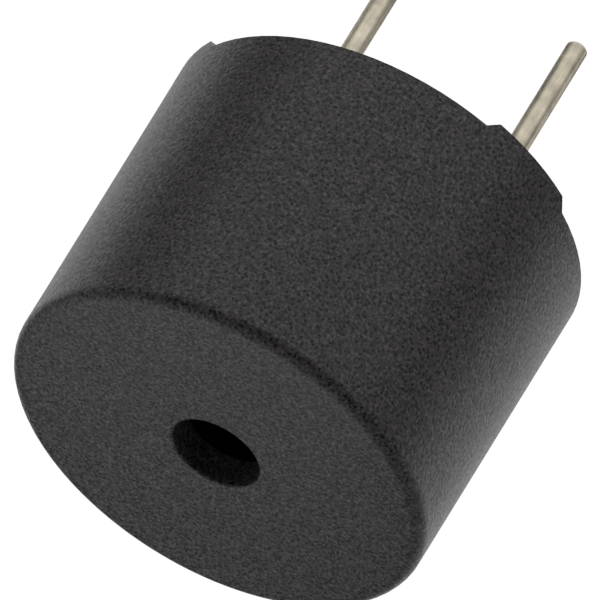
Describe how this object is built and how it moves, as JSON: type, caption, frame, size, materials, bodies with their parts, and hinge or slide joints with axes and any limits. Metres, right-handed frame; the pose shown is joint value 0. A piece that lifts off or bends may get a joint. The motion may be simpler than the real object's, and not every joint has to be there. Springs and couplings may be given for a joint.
{
  "type": "buzzer",
  "caption": "Round black magnetic buzzer with a central sound port, standoff feet on its base rim and wire pins for soldering into a circuit board.",
  "frame": {"origin": "centre of the seating plane under the feet, midway between the pins", "axes": "+Z out of the sound face, the pins point along -Z and stand along X, and one foot lies on +X"},
  "size_m": [0.012, 0.012, 0.0166],
  "materials": {
    "case_plastic": "fine matt moulded texture",
    "seal_epoxy": "glossy cast epoxy",
    "board_laminate": "satin laminate",
    "chip_mould": "matt moulding compound",
    "chip_ceramic": "satin",
    "pin_tin": "satin tin plating",
    "solder": "bright solder",
    "soft_iron": "zinc plated",
    "copper_wire": "enamelled copper",
    "ferrite": "ground sintered ferrite",
    "ring_plastic": "satin moulded",
    "spring_steel": "rolled strip"
  },
  "bodies": {
    "root": {"case": "case_plastic", "base_seal": "seal_epoxy", "circuit_board": "board_laminate", "transistor": "chip_mould", "resistor": "chip_ceramic", "pin_positive": "pin_tin", "pin_negative": "pin_tin", "pin_solder_positive": "solder", "pin_solder_negative": "solder", "yoke_plate": "soft_iron", "pole_core": "soft_iron", "coil": "copper_wire", "coil_lead_drive": "copper_wire", "coil_lead_common": "copper_wire", "coil_lead_sense": "copper_wire", "lead_solder_drive": "solder", "lead_solder_common": "solder", "lead_solder_sense": "solder", "ring_magnet": "ferrite", "support_ring": "ring_plastic", "diaphragm": "spring_steel", "armature": "soft_iron"}
  },
  "joints": []
}
